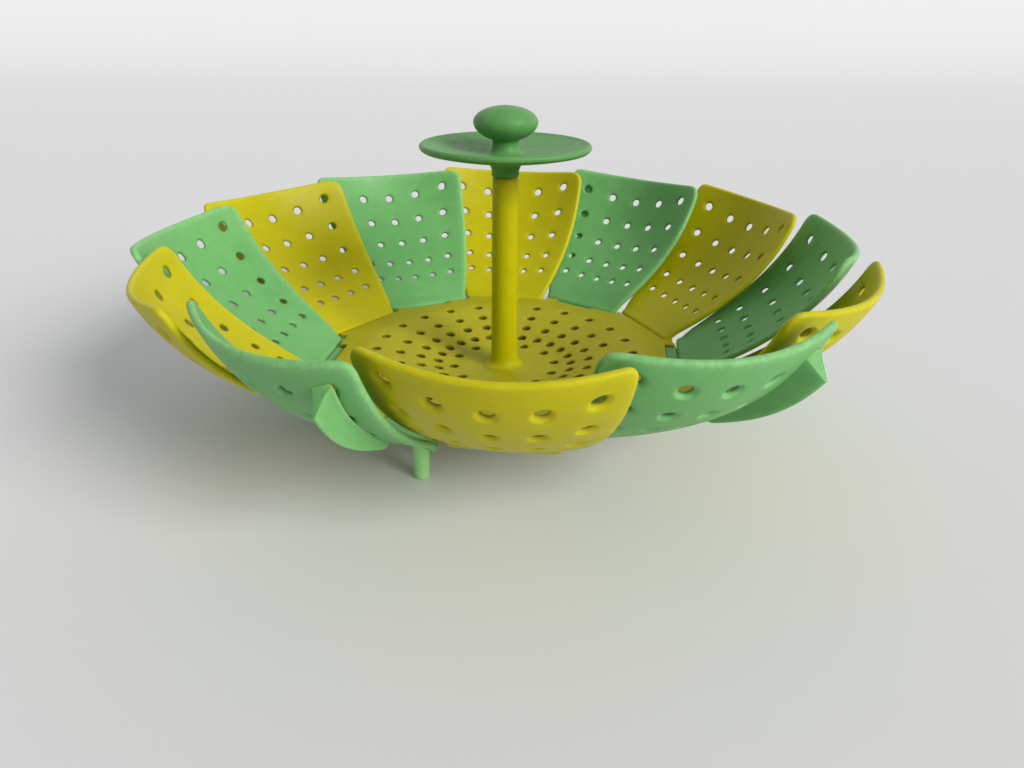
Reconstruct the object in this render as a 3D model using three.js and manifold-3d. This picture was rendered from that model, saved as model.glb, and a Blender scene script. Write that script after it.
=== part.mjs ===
// A folding petal basket: twelve troughed petals hinge round a dished, perforated plate.
// Lengths are millimetres and angles are degrees. The basket stands on z = 0 with its post on the z axis.
import * as THREE from 'three';
import { mergeGeometries, mergeVertices } from 'three/addons/utils/BufferGeometryUtils.js';
import Module from 'manifold-3d';

const wasm = await Module();
wasm.setup();

// Clearances and cutting
const seatGap = 0.3;
const cutOverrun = 4;
const holeSides = 5;
const weldTolerance = 1e-4;

// Colours and finishes
const limeColour = '#c3bd18';
const greenColour = '#4fa457';
const knobColour = '#3f8a43';
const mouldedRoughness = 0.5;

// Hinges of the petals, round the plate
const petalCount = 12;
const hingeReach = 62.2;
const hingeRise = 2.7;
const hingeSkew = 8.3;
const restAngle = 42;

// Plate, measured from the top of its flat middle, with circles as shares of the hinges' reach
const standHeight = 18.6;
const plateThickness = 2;
const plateFlatShare = 0.309;
const plateSlopeShare = 0.498;
const plateCrestShare = 0.746;
const plateSlopeRise = 3.3;
const plateCrestRise = 5.7;
const plateRimRise = 3.9;
const plateSegments = 24;
const bossRadius = 9;
const bossRise = 1.2;
const plateHoleRadius = 1.4;
const plateHoleTurn = -9.7;
const innerHoleCircleShare = 0.2846;
const outerHoleCircleShares = [0.373, 0.471, 0.5868, 0.7203];

// Petals: widths at the root as shares of the hinges' reach, at the rim as shares of the rim's reach,
// and the swell between them as shares of the petal's length
const petalLength = 70;
const petalRimLength = 66.9;
const petalRimFall = 5.2;
const petalRimTilt = 1;
const petalThickness = 2;
const innerRootShare = 0.2637;
const outerRootShare = 0.2444;
const beadHalfShare = 0.2283;
const innerEdgeShare = 0.2775;
const outerEdgeShare = 0.2758;
const innerSwellShare = 0.2186;
const outerSwellShare = 0.2143;
const petalLean = 2.1;
const petalTwist = 2.9;
const troughRadiusAtRoot = 150;
const troughRadiusAtRim = 44;
const troughGrowthShare = 0.8;
const bowDepth = 7.35;
const bowLeanShare = 0.85;
const innerCornerRadius = 6.5;
const outerCornerRadius = 5;
const beadRadius = 1.5;
const beadSides = 8;

// Holes in a petal: rows as shares of its length, spacing and radius from the first row to the last
const petalRowShares = [0.217, 0.339, 0.493, 0.653, 0.813];
const firstHoleSpacing = 7.6;
const lastHoleSpacing = 11.6;
const firstHoleRadius = 1.1;
const lastHoleRadius = 1.6;
const holeFlare = 0.4;
const petalColumns = 5;
const rootBandShare = 1 / 3;
const rimBandShare = 0.3;

// Hinge seats on the plate and on the ring below it
const seatDepth = 4;
const seatFloor = 0.9;
const seatArcSteps = 4;
const seatTrim = 3.2;
const seatSlope = 0.9;
const rootRelief = 1.6;
const notchHalfWidth = 8.2;
const notchDepth = 4.1;
const tabLap = 1.9;
const tabDrop = 0.8;

// Ring below the plate, and its feet
const ringSetback = 0.3;
const ringWidth = 8.8;
const ringThickness = 2;
const footTopRadius = 3;
const footTipRadius = 2.3;
const footTipRounding = 0.9;
const footSpigotRadius = 1.6;
const footCount = 3;
const footSegments = 12;

// Fins on the green petals
const finRootLength = 20;
const finTopLength = 59.5;
const finCrestTopLength = 56.5;
const finHeight = 6.3;
const finRootWidth = 1.4;
const finTopWidth = 3.4;
const finCrestWidth = 0.9;
const finCrestShares = [0.2, 0.58, 0.72, 0.84, 0.95, 1];
const finColumnShare = 1.9;

// Post
const postFootRadius = 4.5;
const postTopRadius = 4.1;
const postLength = 63.4;
const postSpigotRadius = 3;
const postBarbRadius = 3.8;
const postBarbHeight = 1.4;
const tenonRadius = 2.5;
const tenonLength = 10.5;
const postSegments = 16;

// Handle, heights measured from the bottom of its collar
const collarRadius = 4.5;
const collarHeight = 5;
const saucerRadius = 27;
const saucerRimHeight = 11.5;
const saucerDepth = 3.4;
const saucerWall = 2;
const neckRadius = 4.1;
const knobRadius = 10.1;
const knobWidestHeight = 19.2;
const knobHeight = 23.3;
const knobUndersideHeight = 14.2;
const flareRadius = 9;
const saucerDipShare = 2 / 3;
const neckFootRadius = 5.3;
const knobArcSteps = 4;
const handleSegments = 24;

const radians = THREE.MathUtils.degToRad;
const { lerp } = THREE.MathUtils;
const slopeStepShare = 5e-4;
const petalPitch = 360 / petalCount;
const rootOffset = hingeReach * Math.tan(radians(hingeSkew));
const innerRootWidth = hingeReach * innerRootShare;
const outerRootWidth = hingeReach * outerRootShare;
const beadHalfLength = hingeReach * beadHalfShare;
const rimReach = hingeReach + petalLength * Math.cos(radians(restAngle));
const innerEdgeWidth = rimReach * innerEdgeShare;
const outerEdgeWidth = rimReach * outerEdgeShare;
const wallReach = hingeReach - beadRadius - seatGap;
const notchInnerReach = wallReach - notchDepth;
const ringOuterRadius = notchInnerReach - ringSetback;
const ringInnerRadius = ringOuterRadius - ringWidth;
const footCircle = ringOuterRadius - ringWidth / 2;

// A closed solid for joining and cutting, from a geometry.
function solidOf(geometry) {
  const bare = new THREE.BufferGeometry();
  bare.setAttribute('position', geometry.getAttribute('position').clone());
  bare.setIndex(geometry.getIndex());
  const merged = mergeVertices(bare, weldTolerance);
  return new wasm.Manifold(new wasm.Mesh({
    numProp: 3,
    vertProperties: merged.getAttribute('position').array,
    triVerts: new Uint32Array(merged.getIndex().array),
  }));
}

function geometryOf(solid) {
  const mesh = solid.getMesh();
  const geometry = new THREE.BufferGeometry();
  geometry.setAttribute('position', new THREE.BufferAttribute(mesh.vertProperties, 3));
  geometry.setIndex(new THREE.BufferAttribute(mesh.triVerts, 1));
  return geometry;
}

function turned(profile, segments) {
  const points = profile.map(([radius, height]) => new THREE.Vector2(radius, height));
  const geometry = new THREE.LatheGeometry(points, segments);
  geometry.rotateX(radians(90));
  return geometry;
}

// A prism between two heights over an outline in x and y.
function prism(points, bottom, top) {
  const outline = new THREE.Shape(points.map(([x, y]) => new THREE.Vector2(x, y)));
  const geometry = new THREE.ExtrudeGeometry(outline, { depth: top - bottom, bevelEnabled: false });
  geometry.translate(0, 0, bottom);
  return geometry;
}

function moulded(name, geometry, colour) {
  const finish = { color: colour, roughness: mouldedRoughness, metalness: 0 };
  const mesh = new THREE.Mesh(geometry, new THREE.MeshStandardMaterial(finish));
  mesh.name = name;
  return mesh;
}

// Plate top: flat middle, a slope, a crest, and a fall to the hinges.
const plateSurface = [
  [hingeReach * plateFlatShare, 0],
  [hingeReach * plateSlopeShare, plateSlopeRise],
  [hingeReach * plateCrestShare, plateCrestRise],
  [hingeReach, plateRimRise],
];

function plateTop(radius) {
  for (let i = 1; i < plateSurface.length; i += 1) {
    const [r0, z0] = plateSurface[i - 1];
    const [r1, z1] = plateSurface[i];
    if (radius <= r1) return lerp(z0, z1, Math.max(0, (radius - r0) / (r1 - r0)));
  }
  return plateRimRise;
}

// The blade's middle surface: troughed across, bowed along, and twisted a little towards its rim.
function petalHeight(along, across) {
  const share = along / petalLength;
  const growth = Math.max(0, share) ** troughGrowthShare;
  const curvature = lerp(1 / troughRadiusAtRoot, 1 / troughRadiusAtRim, growth);
  const trough = curvature * across * across / 2;
  const bow = 4 * bowDepth * share * (1 - share) * (1 + bowLeanShare * (share - 0.5));
  return trough - bow - Math.tan(radians(petalTwist)) * share * across;
}

// A point at a distance inside (plus) or outside (minus) of the blade's middle surface.
function petalPoint(along, across, offset) {
  const step = petalLength * slopeStepShare;
  const slopeAlong = (petalHeight(along + step, across) - petalHeight(along - step, across)) / (2 * step);
  const slopeAcross = (petalHeight(along, across + step) - petalHeight(along, across - step)) / (2 * step);
  const normal = new THREE.Vector3(-slopeAlong, -slopeAcross, 1).normalize();
  const lean = petalLean * along / petalLength;
  const point = new THREE.Vector3(along, across + lean, petalHeight(along, across));
  return point.addScaledVector(normal, offset);
}

function rimAt(across) {
  const share = across / innerEdgeWidth;
  return petalRimLength + petalRimTilt * share - petalRimFall * share * share;
}

// Half-width on one side: side is -1 for the edge that lies inside its neighbour, 1 for the one outside.
function edgeAt(along, side) {
  const share = along / petalLength;
  const [root, width, swellShare, cornerRadius] = side < 0
    ? [innerRootWidth, innerEdgeWidth, innerSwellShare, innerCornerRadius]
    : [outerRootWidth, outerEdgeWidth, outerSwellShare, outerCornerRadius];
  const plain = lerp(root, width, share) + petalLength * swellShare * share * (1 - share);
  const cornerStart = rimAt(side * (width - cornerRadius)) - cornerRadius;
  const past = Math.min(cornerRadius, Math.max(0, along - cornerStart));
  return side * (plain - cornerRadius + Math.sqrt(cornerRadius ** 2 - past ** 2));
}

const holeRows = petalRowShares.map((share) => share * petalLength);
const [firstRow, secondRow] = holeRows;
const [lastRow, rowBeforeLast] = holeRows.toReversed();

// Lines between the rows of holes, from the root to the last line below the rim.
const rowLines = [0, firstRow * rootBandShare, firstRow - (secondRow - firstRow) / 2];
for (let i = 1; i < holeRows.length; i += 1) rowLines.push((holeRows[i - 1] + holeRows[i]) / 2);
rowLines.push(lastRow + (lastRow - rowBeforeLast) * rimBandShare);
const plainRows = rowLines.length - 1 - holeRows.length;

// A value for a place along the petal, from its values at the first and the last row of holes.
function betweenRows(first, last, along) {
  return lerp(first, last, (along - firstRow) / (lastRow - firstRow));
}

const spacingAt = (along) => betweenRows(firstHoleSpacing, lastHoleSpacing, along);

// Corner of the grid of cells, as a place along and across the petal.
function gridPlace(row, column) {
  if (row === rowLines.length) {
    const ends = [innerCornerRadius - innerEdgeWidth, outerEdgeWidth - outerCornerRadius];
    const across = lerp(...ends, column / petalColumns);
    return [rimAt(across), across];
  }
  const along = rowLines[row];
  if (column === 0) return [along, edgeAt(along, -1)];
  if (column === petalColumns) return [along, edgeAt(along, 1)];
  const free = Math.min(1, along / firstRow);
  const plain = lerp(edgeAt(along, -1), edgeAt(along, 1), column / petalColumns);
  return [along, lerp(plain, (column - petalColumns / 2) * spacingAt(along), free)];
}

// The blade as a closed sheet of cells, each with a flared hole in the rows that have them.
function bladeGeometry() {
  const positions = [];
  const push = (...points) => points.forEach((p) => positions.push(p.x, p.y, p.z));
  const face = (a, b, c, inward) => (inward ? push(a, b, c) : push(a, c, b));
  const half = petalThickness / 2;
  const pointsOf = (places, inward) => places.map((place) => petalPoint(...place, inward ? half : -half));

  // Fills the area between a cell's corners and the ring of its hole, walking round both by angle.
  function stitched(corners, ring, centre, inward) {
    const angleOf = ([along, across]) => Math.atan2(across - centre[1], along - centre[0]);
    const outer = pointsOf(corners, inward);
    const inner = pointsOf(ring, inward);
    const stops = [
      ...corners.map((place, i) => ({ angle: angleOf(place), point: outer[i], onRing: false })),
      ...ring.map((place, i) => ({ angle: angleOf(place), point: inner[i], onRing: true })),
    ].sort((a, b) => a.angle - b.angle);
    let lastOuter = stops.findLast((stop) => !stop.onRing).point;
    let lastInner = stops.findLast((stop) => stop.onRing).point;
    for (const { point, onRing } of stops) {
      face(lastOuter, point, lastInner, inward);
      if (onRing) lastInner = point;
      else lastOuter = point;
    }
    return inner;
  }

  for (let row = 0; row < rowLines.length; row += 1) {
    for (let column = 0; column < petalColumns; column += 1) {
      const corners = [[row, column], [row + 1, column], [row + 1, column + 1], [row, column + 1]]
        .map(([r, c]) => gridPlace(r, c));
      const along = holeRows[row - plainRows];
      if (along) {
        const centre = [along, (column - (petalColumns - 1) / 2) * spacingAt(along)];
        const radius = betweenRows(firstHoleRadius, lastHoleRadius, along);
        const ringOf = (reach) => Array.from({ length: holeSides }, (_, k) => {
          const angle = 2 * Math.PI * (k + 0.5) / holeSides;
          return [centre[0] + reach * Math.cos(angle), centre[1] + reach * Math.sin(angle)];
        });
        const inside = stitched(corners, ringOf(radius), centre, true);
        const outside = stitched(corners, ringOf(radius + holeFlare), centre, false);
        for (let k = 0; k < holeSides; k += 1) {
          const next = (k + 1) % holeSides;
          push(inside[k], inside[next], outside[next], inside[k], outside[next], outside[k]);
        }
      } else {
        for (const inward of [true, false]) {
          const [a, b, c, d] = pointsOf(corners, inward);
          face(a, b, c, inward);
          face(a, c, d, inward);
        }
      }
    }
  }

  // Walls round the edge, walked in the order of the inner face.
  const border = [];
  for (let row = 0; row < rowLines.length; row += 1) border.push([row, 0]);
  for (let column = 0; column < petalColumns; column += 1) border.push([rowLines.length, column]);
  for (let row = rowLines.length; row > 0; row -= 1) border.push([row, petalColumns]);
  for (let column = petalColumns; column > 0; column -= 1) border.push([0, column]);
  border.forEach(([row, column], k) => {
    const [nextRow, nextColumn] = border[(k + 1) % border.length];
    const here = gridPlace(row, column);
    const there = gridPlace(nextRow, nextColumn);
    const [a, b] = [petalPoint(...here, half), petalPoint(...there, half)];
    const [c, d] = [petalPoint(...there, -half), petalPoint(...here, -half)];
    push(a, d, c, a, c, b);
  });
  const geometry = new THREE.BufferGeometry();
  geometry.setAttribute('position', new THREE.Float32BufferAttribute(positions, 3));
  return mergeVertices(geometry, weldTolerance);
}

// The blade with the round bead that turns in its seat.
function petalGeometry() {
  const bead = new THREE.CylinderGeometry(beadRadius, beadRadius, 2 * beadHalfLength, beadSides);
  return geometryOf(solidOf(bladeGeometry()).add(solidOf(bead)));
}

// Cross-section of a hinge seat: a wall behind the bead that leans away from it, and a floor under the bead.
// Its x runs outwards from the hinge line and its y upwards from it. A step lowers the part nearest the post.
function seatProfile(innerX, wallTop, step) {
  const reach = beadRadius + seatGap;
  const floor = -reach - seatFloor;
  const points = [[-reach - seatSlope * wallTop, wallTop]];
  for (let i = 0; i < seatArcSteps; i += 1) {
    const angle = Math.PI / 2 * i / seatArcSteps;
    points.push([-reach * Math.cos(angle), -reach * Math.sin(angle)]);
  }
  points.push([0, -reach], [0, floor], [innerX, floor]);
  if (step) points.push([innerX, step.top], [step.x, step.top], [step.x, wallTop]);
  else points.push([innerX, wallTop]);
  return points.reverse();
}

// A seat of a given half-width, in the frame of the plate, for the hinge at a turn.
function seatSolid(profile, halfWidth, turn) {
  const geometry = prism(profile, -halfWidth, halfWidth);
  geometry.rotateX(radians(90));
  geometry.translate(hingeReach, rootOffset, hingeRise);
  geometry.rotateZ(radians(turn));
  return solidOf(geometry);
}

const turnOf = (petal) => petal * petalPitch - hingeSkew;
const isGreen = (petal) => petal % 2 === 0;
const petals = Array.from({ length: petalCount }, (_, petal) => petal);

function inHingeFrame(reach, across, turn) {
  const angle = radians(turn);
  return [
    reach * Math.cos(angle) - across * Math.sin(angle),
    reach * Math.sin(angle) + across * Math.cos(angle),
  ];
}

function plateHoles() {
  const depth = plateCrestRise + plateThickness + 2 * cutOverrun;
  const places = petals.map((i) => [innerHoleCircleShare, (i + 0.5) * petalPitch]);
  for (const share of outerHoleCircleShares) {
    for (let i = 0; i < 2 * petalCount; i += 1) places.push([share, (i + 0.5) * petalPitch / 2]);
  }
  return mergeGeometries(places.map(([share, turn]) => {
    const hole = new THREE.CylinderGeometry(plateHoleRadius, plateHoleRadius, depth, holeSides);
    hole.rotateX(radians(90));
    hole.translate(share * hingeReach, 0, plateCrestRise / 2);
    hole.rotateZ(radians(turn + plateHoleTurn));
    return hole;
  }));
}

function plateGeometry() {
  const bore = postSpigotRadius + seatGap;
  const outer = Math.hypot(wallReach, rootOffset + beadHalfLength) + cutOverrun;
  const top = [...plateSurface, [outer, plateRimRise]];
  const underside = top.map(([radius, rise]) => [radius, rise - plateThickness]).reverse();
  const profile = [
    [bore, bossRise], [(bore + bossRadius) / 2, bossRise], [bossRadius, 0],
    ...top, ...underside, [bore, -plateThickness], [bore, bossRise],
  ];
  const wallTop = plateRimRise - hingeRise;
  const edgeReach = wallReach - seatSlope * wallTop;
  const ends = [rootOffset - innerRootWidth - rootRelief, rootOffset + beadHalfLength];
  const outline = petals.map(turnOf).flatMap((turn) => ends.map((end) => inHingeFrame(edgeReach, end, turn)));
  const dish = turned(profile.reverse(), plateSegments);
  dish.rotateZ(radians(plateHoleTurn));
  let plate = solidOf(dish);
  plate = plate.intersect(solidOf(prism(outline, -plateCrestRise, 2 * plateCrestRise)));
  const limeSeat = seatProfile(-beadRadius - seatGap - seatDepth, wallTop);
  const seatHalfWidth = beadHalfLength - seatTrim;
  for (const petal of petals) {
    const turn = turnOf(petal);
    if (isGreen(petal)) {
      const notch = [[notchInnerReach, -1], [hingeReach, -1], [hingeReach, 1], [notchInnerReach, 1]]
        .map(([reach, side]) => inHingeFrame(reach, rootOffset + side * notchHalfWidth, turn));
      plate = plate.subtract(solidOf(prism(notch, -plateCrestRise, 2 * plateCrestRise)));
    } else {
      plate = plate.add(seatSolid(limeSeat, seatHalfWidth, turn));
    }
  }
  return geometryOf(plate.subtract(solidOf(plateHoles())));
}

// The ring's top follows the plate's underside at the clearance.
function ringTop(radius) {
  return plateTop(radius) - plateThickness - seatGap;
}

function ringGeometry() {
  const profile = [
    [ringInnerRadius, ringTop(ringInnerRadius) - ringThickness],
    [ringOuterRadius, ringTop(ringOuterRadius) - ringThickness],
    [ringOuterRadius, ringTop(ringOuterRadius)],
    [ringInnerRadius, ringTop(ringInnerRadius)],
    [ringInnerRadius, ringTop(ringInnerRadius) - ringThickness],
  ];
  let ring = solidOf(turned(profile, plateSegments));
  const stepX = notchInnerReach + seatGap - hingeReach;
  const step = { x: stepX, top: ringTop(notchInnerReach) - seatGap - hingeRise };
  const tab = seatProfile(stepX - seatGap - tabLap, plateRimRise - tabDrop - hingeRise, step);
  for (const petal of petals.filter(isGreen)) {
    ring = ring.add(seatSolid(tab, notchHalfWidth - seatGap, turnOf(petal)));
  }
  for (let foot = 0; foot < footCount; foot += 1) {
    const hole = new THREE.CylinderGeometry(footSpigotRadius + seatGap, footSpigotRadius + seatGap,
      2 * cutOverrun, footSegments);
    hole.rotateX(radians(90));
    hole.translate(footCircle, 0, ringTop(footCircle));
    hole.rotateZ(radians(foot * 360 / footCount));
    ring = ring.subtract(solidOf(hole));
  }
  return geometryOf(ring);
}

// A tapered pin that stands on the table, with a spigot that is pressed into the ring.
function footGeometry() {
  const shoulder = standHeight + ringTop(footCircle + footTopRadius) - ringThickness - seatGap;
  const spigotTop = standHeight + ringTop(footCircle) - seatGap;
  return turned([
    [0, 0], [footTipRadius - footTipRounding, 0], [footTipRadius, footTipRounding],
    [footTopRadius, shoulder], [footSpigotRadius, shoulder], [footSpigotRadius, spigotTop], [0, spigotTop],
  ], footSegments);
}

// A fin that stands square on the outer side of a green petal, in the line of its last column of holes.
function finGeometry() {
  const base = -(petalThickness / 2 + seatGap);
  const steps = finCrestShares.length - 1;
  const sections = finCrestShares.map((share, i) => {
    const along = lerp(finRootLength, finTopLength, i / steps);
    const crestAlong = lerp(finRootLength, finCrestTopLength, i / steps);
    const width = lerp(finRootWidth, finTopWidth, i / steps);
    const across = spacingAt(along) * finColumnShare;
    const crestAcross = spacingAt(crestAlong) * finColumnShare;
    return [
      petalPoint(along, across - width / 2, base),
      petalPoint(along, across + width / 2, base),
      petalPoint(crestAlong, crestAcross + finCrestWidth / 2, base - share * finHeight),
      petalPoint(crestAlong, crestAcross - finCrestWidth / 2, base - share * finHeight),
    ];
  });
  const sides = sections[0].length;
  const indices = [0, 1, 2, 0, 2, 3];
  for (let i = 0; i < steps; i += 1) {
    for (let k = 0; k < sides; k += 1) {
      const [a, b] = [i * sides + k, i * sides + (k + 1) % sides];
      indices.push(a, b + sides, b, a, a + sides, b + sides);
    }
  }
  const end = steps * sides;
  indices.push(end, end + 2, end + 1, end, end + 3, end + 2);
  const geometry = new THREE.BufferGeometry();
  const positions = sections.flat().flatMap((p) => [p.x, p.y, p.z]);
  geometry.setAttribute('position', new THREE.Float32BufferAttribute(positions, 3));
  geometry.setIndex(indices);
  return geometry;
}

// The post, with a barbed spigot through the plate and a tenon for the handle.
function postGeometry() {
  const shoulder = bossRise + seatGap;
  const barbTop = -plateThickness - seatGap;
  return turned([
    [0, barbTop - postBarbHeight], [postSpigotRadius, barbTop - postBarbHeight], [postBarbRadius, barbTop],
    [postSpigotRadius, barbTop], [postSpigotRadius, shoulder], [postFootRadius, shoulder],
    [postTopRadius, postLength], [tenonRadius, postLength], [tenonRadius, postLength + tenonLength],
    [0, postLength + tenonLength],
  ], postSegments);
}

// Collar, dished saucer, neck and mushroom knob, turned as one moulding.
function handleGeometry() {
  const floorAt = (radius) => saucerRimHeight - saucerDepth * (1 - (radius / saucerRadius) ** 2);
  const bore = tenonRadius + seatGap;
  const dipRadius = saucerRadius * saucerDipShare;
  const profile = [[0, tenonLength + seatGap], [bore, tenonLength + seatGap], [bore, 0], [collarRadius, 0]];
  profile.push([collarRadius, collarHeight], [flareRadius, floorAt(flareRadius) - saucerWall]);
  const rimInset = saucerWall / 4;
  profile.push([saucerRadius - rimInset, floorAt(saucerRadius) - saucerWall]);
  profile.push([saucerRadius, saucerRimHeight - saucerWall / 2], [saucerRadius - rimInset, saucerRimHeight]);
  profile.push([dipRadius, floorAt(dipRadius)], [flareRadius, floorAt(flareRadius)]);
  profile.push([neckFootRadius, floorAt(0) + saucerWall / 4], [neckRadius, floorAt(0) + saucerWall]);
  for (let i = 0; i < knobArcSteps; i += 1) {
    const angle = i / knobArcSteps * Math.PI / 2;
    profile.push([
      neckRadius + (knobRadius - neckRadius) * Math.sin(angle),
      knobWidestHeight - (knobWidestHeight - knobUndersideHeight) * Math.cos(angle),
    ]);
  }
  for (let i = 0; i <= knobArcSteps; i += 1) {
    const angle = i / knobArcSteps * Math.PI / 2;
    profile.push([
      i === knobArcSteps ? 0 : knobRadius * Math.cos(angle),
      knobWidestHeight + (knobHeight - knobWidestHeight) * Math.sin(angle),
    ]);
  }
  return turned(profile, handleSegments);
}

const basket = new THREE.Group();
const raised = new THREE.Group();
raised.position.z = standHeight;
basket.add(raised);

raised.add(moulded('base_plate', plateGeometry(), limeColour));
raised.add(moulded('support_ring', ringGeometry(), greenColour));
raised.add(moulded('centre_post', postGeometry(), limeColour));

const handle = moulded('handle', handleGeometry(), knobColour);
handle.position.z = postLength + seatGap;
raised.add(handle);

const foot = footGeometry();
for (let i = 0; i < footCount; i += 1) {
  const mesh = moulded(`foot_${i + 1}`, foot, greenColour);
  const turn = radians(i * 360 / footCount);
  mesh.position.set(footCircle * Math.cos(turn), footCircle * Math.sin(turn), 0);
  mesh.rotation.z = turn;
  basket.add(mesh);
}

const blade = petalGeometry();
const fin = finGeometry();
for (const petal of petals) {
  const number = Math.floor(petal / 2) + 1;
  const hinge = new THREE.Group();
  hinge.rotation.z = radians(turnOf(petal));
  const leaf = new THREE.Group();
  leaf.position.set(hingeReach, rootOffset, hingeRise);
  leaf.rotation.y = -radians(restAngle);
  hinge.add(leaf);
  raised.add(hinge);
  if (isGreen(petal)) {
    leaf.add(moulded(`green_petal_${number}`, blade, greenColour));
    leaf.add(moulded(`petal_fin_${number}`, fin, greenColour));
  } else {
    leaf.add(moulded(`lime_petal_${number}`, blade, limeColour));
  }
}

export default basket;
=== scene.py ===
"""A collapsible colander: lime and green moulded petals hinged round a dished, perforated plate."""

import math
from functools import partial

import bmesh
import bpy
import numpy as np
from mathutils import Matrix, Vector
from mathutils.geometry import delaunay_2d_cdt


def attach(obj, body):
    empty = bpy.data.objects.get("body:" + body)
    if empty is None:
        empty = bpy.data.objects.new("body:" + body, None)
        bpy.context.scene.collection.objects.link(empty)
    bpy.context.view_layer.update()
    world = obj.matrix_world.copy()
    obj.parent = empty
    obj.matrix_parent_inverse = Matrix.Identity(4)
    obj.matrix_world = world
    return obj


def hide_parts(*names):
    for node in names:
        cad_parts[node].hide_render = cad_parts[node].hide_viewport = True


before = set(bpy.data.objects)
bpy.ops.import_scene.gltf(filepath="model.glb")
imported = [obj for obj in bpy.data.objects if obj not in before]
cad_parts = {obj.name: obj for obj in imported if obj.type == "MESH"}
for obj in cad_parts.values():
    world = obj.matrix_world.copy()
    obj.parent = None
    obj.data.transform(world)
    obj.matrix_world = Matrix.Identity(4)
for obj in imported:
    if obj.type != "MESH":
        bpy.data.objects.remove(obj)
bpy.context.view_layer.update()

MM = 0.001

# Lengths are in millimetres and angles in degrees, except where a comment says otherwise. Shares,
# slopes, growths and powers are plain numbers.

# The plate. Its rises are heights of its top over its flat middle.
STAND_HEIGHT = 18.6
PLATE_THICKNESS = 2.0
PLATE_RISE_RADII = (0.0, 16.0, 19.2, 31.0, 46.4, 62.2, 70.0)
PLATE_RISES = (0.0, 0.0, 0.0, 3.3, 5.7, 3.9, 3.9)
PLATE_SOFTNESS = 3.5
PLATE_EDGE = 0.45
PLATE_EDGE_WEAR = 0.5
BOSS_RADIUS = 9.0
BOSS_RISE = 1.2
BORE_RADIUS = 3.3
PLATE_HOLE_RADIUS = 1.4
PLATE_HOLE_TURN = -9.7
HOLE_CIRCLES = (17.7, 23.2, 29.3, 36.5, 44.8)
CELL_RADII = (14.4, 20.4, 26.2, 32.9, 40.6, 49.0)

# The petals. Places along a blade start at its hinge, and its two sides, -1 and 1, differ a little.
PETAL_COUNT = 12
HINGE_REACH = 62.2
HINGE_RISE = 2.7
HINGE_SKEW = 8.3
ROOT_OFFSET = HINGE_REACH * math.tan(math.radians(HINGE_SKEW))
REST_ANGLE = 42.0
PETAL_LENGTH = 70.0
SIDES = (-1, 1)
RIM_AT = 66.9
RIM_FALL = 5.2
RIM_TILT = 1.0
HALF_THICKNESS = 1.0
BEAD_RADIUS = 1.5
BEAD_LENGTH = 28.4
BEAD_FADE = 1.7
ROOT_STRAIGHT = 3.0
ROOT_WIDTHS = {-1: 16.4, 1: 15.2}
EDGE_WIDTHS = {-1: 31.7, 1: 31.5}
EDGE_SWELLS = {-1: 15.3, 1: 15.0}
CORNER_RADII = {-1: 6.5, 1: 5.0}
PETAL_LEAN = 2.1
PETAL_TWIST = 2.9
TROUGH_AT_ROOT = 150.0
TROUGH_AT_RIM = 44.0
TROUGH_GROWTH = 0.8
BOW_DEPTH = 7.35
BOW_LEAN = 0.85
SLOPE_STEP = 0.01
COLUMNS = 5
ROW_SHARES = np.array([0.217, 0.339, 0.493, 0.653, 0.813])
ROW_SPREAD = 0.5
LAST_LINE_SHARE = 0.28
HOLE_SPACINGS = (7.6, 11.6)
HOLE_RADII = (1.05, 1.45)

# Rings down the wall of a hole, each as what it adds to the radius and as its share of half the
# wall's thickness, from 1 on the inner face to -1 on the outer one.
PLATE_REACHES = np.array([0.5, 0.36, 0.2, 0.06, 0.0, 0.0, 0.1, 0.3])
PLATE_DEPTHS = np.array([1.0, 0.94, 0.76, 0.5, 0.25, -0.7, -0.92, -1.0])
BLADE_REACHES = np.array([0.95, 0.7, 0.4, 0.12, 0.0, 0.0, 0.3, 0.65, 1.0, 1.25, 1.45])
BLADE_DEPTHS = np.array([1.0, 0.94, 0.76, 0.56, 0.4, 0.2, -0.12, -0.46, -0.77, -0.94, -1.0])
# Depths of the outer dimple's rings painted pale as a highlight, the spread of the painted shade in
# the holes, and the spread of the pale near the edges, partly wear and partly painted highlight.
DIMPLE_HIGHLIGHT_DEPTHS = (-0.95, -0.8, -0.2, 0.1)
HOLE_SHADE_SPREAD = 0.25
WEAR_AND_HIGHLIGHT_SPREAD = 0.9

# Counts of points, chosen so that neighbouring borders meet point for point. Points nearer than
# the weld are merged, and edges shorter than the sliver are taken out.
CELL_POINTS = 24
SPARSE_SIDE = 6
DENSE_SIDE = 12
PETAL_POINTS = 2 * DENSE_SIDE
CORNER_POINTS = (0, 6, 7, 19, 20, 22)
BLADE_SIDE = 8
NOSE_POINTS = 9
WELD = 0.002
SLIVER = 0.001
SAME_PLACE = 1e-6
WITHIN_BORDER = 1

# The seats of the petals' beads, and the ring under the plate whose tabs fill the notches.
SEAT_GAP = 0.3
SEAT_DEPTH = 4.0
SEAT_FLOOR = 0.9
SEAT_TRIM = 3.2
SEAT_SLOPE = 0.9
SEAT_FOOT = 1.45
SEAT_DROP = 0.15
SEAT_WRAP = (180, 240)
ROOT_RELIEF = 1.6
NOTCH_HALF_WIDTH = 8.2
NOTCH_REACH = 56.3
STRIP_REACH = NOTCH_REACH - 3 * PLATE_EDGE
TAB_REACH = 54.4
TAB_DROP = 0.8
RING_RADII = (47.2, 56.0)
RING_THICKNESS = 2.0
SEAT_ROUND = 0.3
SHARP_ANGLE = 40.0

# The feet.
FOOT_COUNT = 3
FOOT_CIRCLE = 51.6
FOOT_TOP_RADIUS = 3.0
FOOT_TIP_RADIUS = 2.3
FOOT_TIP_ROUNDING = 0.9
FOOT_FLARE = 0.5
FOOT_FLARE_POWER = 12

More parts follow.
